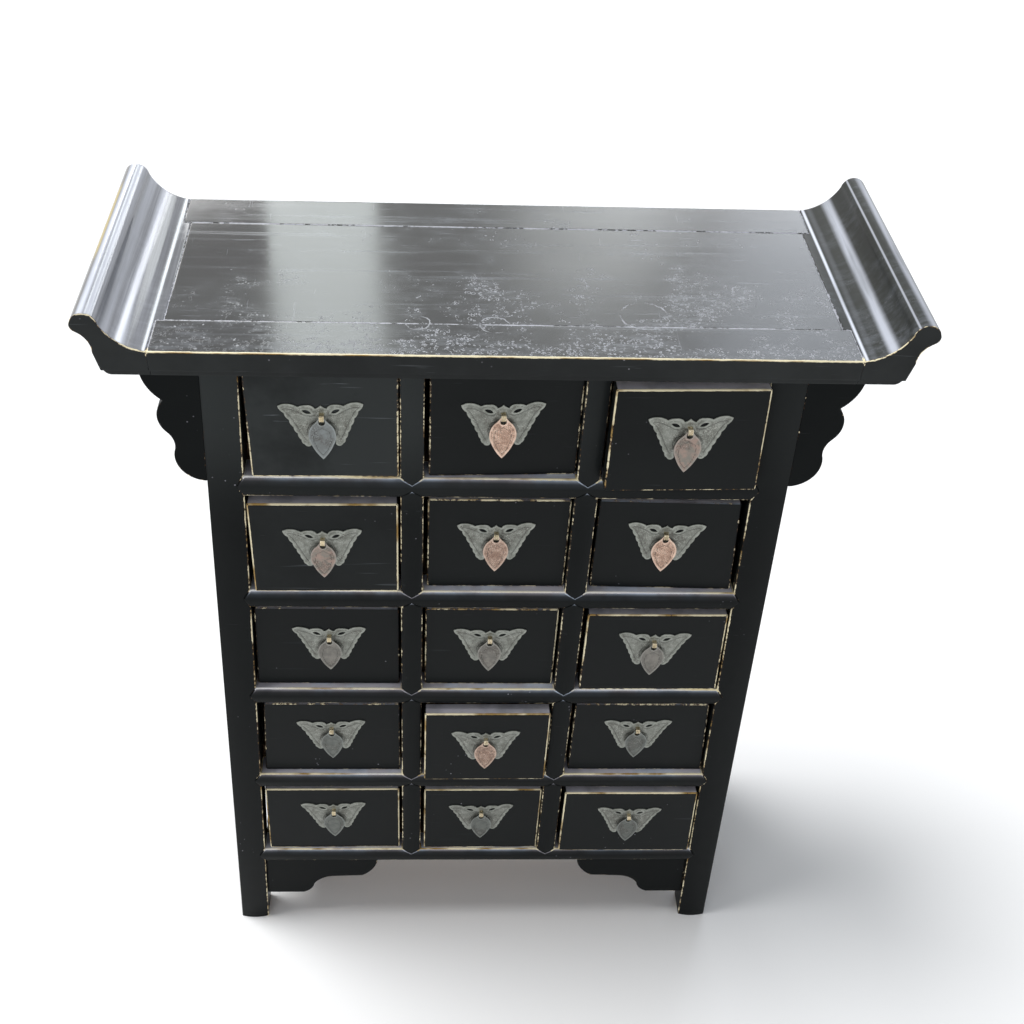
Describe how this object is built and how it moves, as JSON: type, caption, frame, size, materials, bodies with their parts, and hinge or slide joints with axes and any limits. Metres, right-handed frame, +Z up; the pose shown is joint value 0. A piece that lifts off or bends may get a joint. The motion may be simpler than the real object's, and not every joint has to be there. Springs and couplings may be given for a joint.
{
  "type": "drawer cabinet",
  "caption": "Black lacquer cabinet on splayed legs, with a scrolled top, rows of small sliding drawers and butterfly plates with swinging leaf pulls.",
  "frame": {"origin": "on the floor, under the middle of the cabinet's outer box", "axes": "+X to the right of someone who faces the drawers, +Y to the back, +Z up"},
  "size_m": [0.8044, 0.2993, 1.0165],
  "materials": {
    "black_lacquer": "gloss black lacquer, worn to gold and cream at the edges",
    "inside_wood": "bare unpolished softwood",
    "aged_pewter_brass": "grey-green aged metal, stippled and dull",
    "copper_grey_leaf": "grey to copper-pink aged metal"
  },
  "bodies": {
    "carcass": {"legs": "black_lacquer", "side_rails": "black_lacquer", "side_panels": "black_lacquer", "back_rails": "inside_wood", "back_panels": "inside_wood", "front_rails": "black_lacquer", "front_dividers": "black_lacquer", "drawer_runners": "inside_wood", "top_panel": "black_lacquer", "top_rails": "black_lacquer", "scroll_end_left": "black_lacquer", "scroll_end_right": "black_lacquer", "top_battens": "inside_wood", "spandrels": "black_lacquer", "aprons": "black_lacquer"},
    "drawer_r1c1": {"drawer_r1c1": "black_lacquer", "butterfly_r1c1": "aged_pewter_brass"},
    "pull_r1c1": {"pull_r1c1": "copper_grey_leaf"},
    "drawer_r1c2": {"drawer_r1c2": "black_lacquer", "butterfly_r1c2": "aged_pewter_brass"},
    "pull_r1c2": {"pull_r1c2": "copper_grey_leaf"},
    "drawer_r1c3": {"drawer_r1c3": "black_lacquer", "butterfly_r1c3": "aged_pewter_brass"},
    "pull_r1c3": {"pull_r1c3": "copper_grey_leaf"},
    "drawer_r2c1": {"drawer_r2c1": "black_lacquer", "butterfly_r2c1": "aged_pewter_brass"},
    "pull_r2c1": {"pull_r2c1": "copper_grey_leaf"},
    "drawer_r2c2": {"drawer_r2c2": "black_lacquer", "butterfly_r2c2": "aged_pewter_brass"},
    "pull_r2c2": {"pull_r2c2": "copper_grey_leaf"},
    "drawer_r2c3": {"drawer_r2c3": "black_lacquer", "butterfly_r2c3": "aged_pewter_brass"},
    "pull_r2c3": {"pull_r2c3": "copper_grey_leaf"},
    "drawer_r3c1": {"drawer_r3c1": "black_lacquer", "butterfly_r3c1": "aged_pewter_brass"},
    "pull_r3c1": {"pull_r3c1": "copper_grey_leaf"},
    "drawer_r3c2": {"drawer_r3c2": "black_lacquer", "butterfly_r3c2": "aged_pewter_brass"},
    "pull_r3c2": {"pull_r3c2": "copper_grey_leaf"},
    "drawer_r3c3": {"drawer_r3c3": "black_lacquer", "butterfly_r3c3": "aged_pewter_brass"},
    "pull_r3c3": {"pull_r3c3": "copper_grey_leaf"},
    "drawer_r4c1": {"drawer_r4c1": "black_lacquer", "butterfly_r4c1": "aged_pewter_brass"},
    "pull_r4c1": {"pull_r4c1": "copper_grey_leaf"},
    "drawer_r4c2": {"drawer_r4c2": "black_lacquer", "butterfly_r4c2": "aged_pewter_brass"},
    "pull_r4c2": {"pull_r4c2": "copper_grey_leaf"},
    "drawer_r4c3": {"drawer_r4c3": "black_lacquer", "butterfly_r4c3": "aged_pewter_brass"},
    "pull_r4c3": {"pull_r4c3": "copper_grey_leaf"},
    "drawer_r5c1": {"drawer_r5c1": "black_lacquer", "butterfly_r5c1": "aged_pewter_brass"},
    "pull_r5c1": {"pull_r5c1": "copper_grey_leaf"},
    "drawer_r5c2": {"drawer_r5c2": "black_lacquer", "butterfly_r5c2": "aged_pewter_brass"},
    "pull_r5c2": {"pull_r5c2": "copper_grey_leaf"},
    "drawer_r5c3": {"drawer_r5c3": "black_lacquer", "butterfly_r5c3": "aged_pewter_brass"},
    "pull_r5c3": {"pull_r5c3": "copper_grey_leaf"}
  },
  "joints": [
    {"name": "slide_r1c1", "type": "slide", "parent": "carcass", "child": "drawer_r1c1", "axis": [0.007, -1, 0], "range_m": [-0.01, 0.16]},
    {"name": "swing_r1c1", "type": "hinge", "parent": "drawer_r1c1", "child": "pull_r1c1", "pos_m": [-0.17928, -0.1304, 0.88775], "axis": [-1, -0.007, 0], "range_deg": [0, 80]},
    {"name": "slide_r1c2", "type": "slide", "parent": "carcass", "child": "drawer_r1c2", "axis": [0.0349, -0.9994, 0], "range_m": [-0.0045, 0.16]},
    {"name": "swing_r1c2", "type": "hinge", "parent": "drawer_r1c2", "child": "pull_r1c2", "pos_m": [-0.00037, -0.12499, 0.88715], "axis": [-0.9994, -0.0349, 0], "range_deg": [0, 80]},
    {"name": "slide_r1c3", "type": "slide", "parent": "carcass", "child": "drawer_r1c3", "axis": [0.0262, -0.9997, 0], "range_m": [-0.0263, 0.16]},
    {"name": "swing_r1c3", "type": "hinge", "parent": "drawer_r1c3", "child": "pull_r1c3", "pos_m": [0.18184, -0.1467, 0.88905], "axis": [-0.9997, -0.0262, 0], "range_deg": [0, 80]},
    {"name": "slide_r2c1", "type": "slide", "parent": "carcass", "child": "drawer_r2c1", "axis": [0.0105, -0.9999, 0], "range_m": [-0.0113, 0.16]},
    {"name": "swing_r2c1", "type": "hinge", "parent": "drawer_r2c1", "child": "pull_r2c1", "pos_m": [-0.18512, -0.13171, 0.72415], "axis": [-0.9999, -0.0105, 0], "range_deg": [0, 80]},
    {"name": "slide_r2c2", "type": "slide", "parent": "carcass", "child": "drawer_r2c2", "axis": [0.0052, -1, 0], "range_m": [-0.0017, 0.16]},
    {"name": "swing_r2c2", "type": "hinge", "parent": "drawer_r2c2", "child": "pull_r2c2", "pos_m": [-0.00052, -0.12211, 0.72595], "axis": [-1, -0.0052, 0], "range_deg": [0, 80]},
    {"name": "slide_r2c3", "type": "slide", "parent": "carcass", "child": "drawer_r2c3", "axis": [-0.0209, -0.9998, 0], "range_m": [-0.0026, 0.16]},
    {"name": "swing_r2c3", "type": "hinge", "parent": "drawer_r2c3", "child": "pull_r2c3", "pos_m": [0.18182, -0.12296, 0.72845], "axis": [-0.9998, 0.0209, 0], "range_deg": [0, 80]},
    {"name": "slide_r3c1", "type": "slide", "parent": "carcass", "child": "drawer_r3c1", "axis": [0, -1, 0], "range_m": [-0.002, 0.16]},
    {"name": "swing_r3c1", "type": "hinge", "parent": "drawer_r3c1", "child": "pull_r3c1", "pos_m": [-0.18499, -0.1224, 0.56585], "axis": [-1, 0, 0], "range_deg": [0, 80]},
    {"name": "slide_r3c2", "type": "slide", "parent": "carcass", "child": "drawer_r3c2", "axis": [0, -1, 0], "range_m": [-0.0019, 0.16]},
    {"name": "swing_r3c2", "type": "hinge", "parent": "drawer_r3c2", "child": "pull_r3c2", "pos_m": [-0.00085, -0.1223, 0.56425], "axis": [-1, 0, 0], "range_deg": [0, 80]},
    {"name": "slide_r3c3", "type": "slide", "parent": "carcass", "child": "drawer_r3c3", "axis": [0.0035, -1, 0], "range_m": [-0.0098, 0.16]},
    {"name": "swing_r3c3", "type": "hinge", "parent": "drawer_r3c3", "child": "pull_r3c3", "pos_m": [0.188, -0.1302, 0.56705], "axis": [-1, -0.0035, 0], "range_deg": [0, 80]},
    {"name": "slide_r4c1", "type": "slide", "parent": "carcass", "child": "drawer_r4c1", "axis": [0, -1, 0], "range_m": [-0.0031, 0.16]},
    {"name": "swing_r4c1", "type": "hinge", "parent": "drawer_r4c1", "child": "pull_r4c1", "pos_m": [-0.18847, -0.1235, 0.40285], "axis": [-1, 0, 0], "range_deg": [0, 80]},
    {"name": "slide_r4c2", "type": "slide", "parent": "carcass", "child": "drawer_r4c2", "axis": [0.0052, -1, 0], "range_m": [-0.0185, 0.16]},
    {"name": "swing_r4c2", "type": "hinge", "parent": "drawer_r4c2", "child": "pull_r4c2", "pos_m": [0.00028, -0.1389, 0.40155], "axis": [-1, -0.0052, 0], "range_deg": [0, 80]},
    {"name": "slide_r4c3", "type": "slide", "parent": "carcass", "child": "drawer_r4c3", "axis": [0, -1, 0], "range_m": [-0.0024, 0.16]},
    {"name": "swing_r4c3", "type": "hinge", "parent": "drawer_r4c3", "child": "pull_r4c3", "pos_m": [0.18837, -0.1228, 0.40405], "axis": [-1, 0, 0], "range_deg": [0, 80]},
    {"name": "slide_r5c1", "type": "slide", "parent": "carcass", "child": "drawer_r5c1", "axis": [0.0052, -1, 0], "range_m": [-0.0068, 0.16]},
    {"name": "swing_r5c1", "type": "hinge", "parent": "drawer_r5c1", "child": "pull_r5c1", "pos_m": [-0.19154, -0.1272, 0.24265], "axis": [-1, -0.0052, 0], "range_deg": [0, 80]},
    {"name": "slide_r5c2", "type": "slide", "parent": "carcass", "child": "drawer_r5c2", "axis": [0.0035, -1, 0], "range_m": [-0.0075, 0.16]},
    {"name": "swing_r5c2", "type": "hinge", "parent": "drawer_r5c2", "child": "pull_r5c2", "pos_m": [0.00067, -0.1279, 0.23965], "axis": [-1, -0.0035, 0], "range_deg": [0, 80]},
    {"name": "slide_r5c3", "type": "slide", "parent": "carcass", "child": "drawer_r5c3", "axis": [0, -1, 0], "range_m": [-0.0129, 0.16]},
    {"name": "swing_r5c3", "type": "hinge", "parent": "drawer_r5c3", "child": "pull_r5c3", "pos_m": [0.19436, -0.1333, 0.23995], "axis": [-1, 0, 0], "range_deg": [0, 80]}
  ]
}
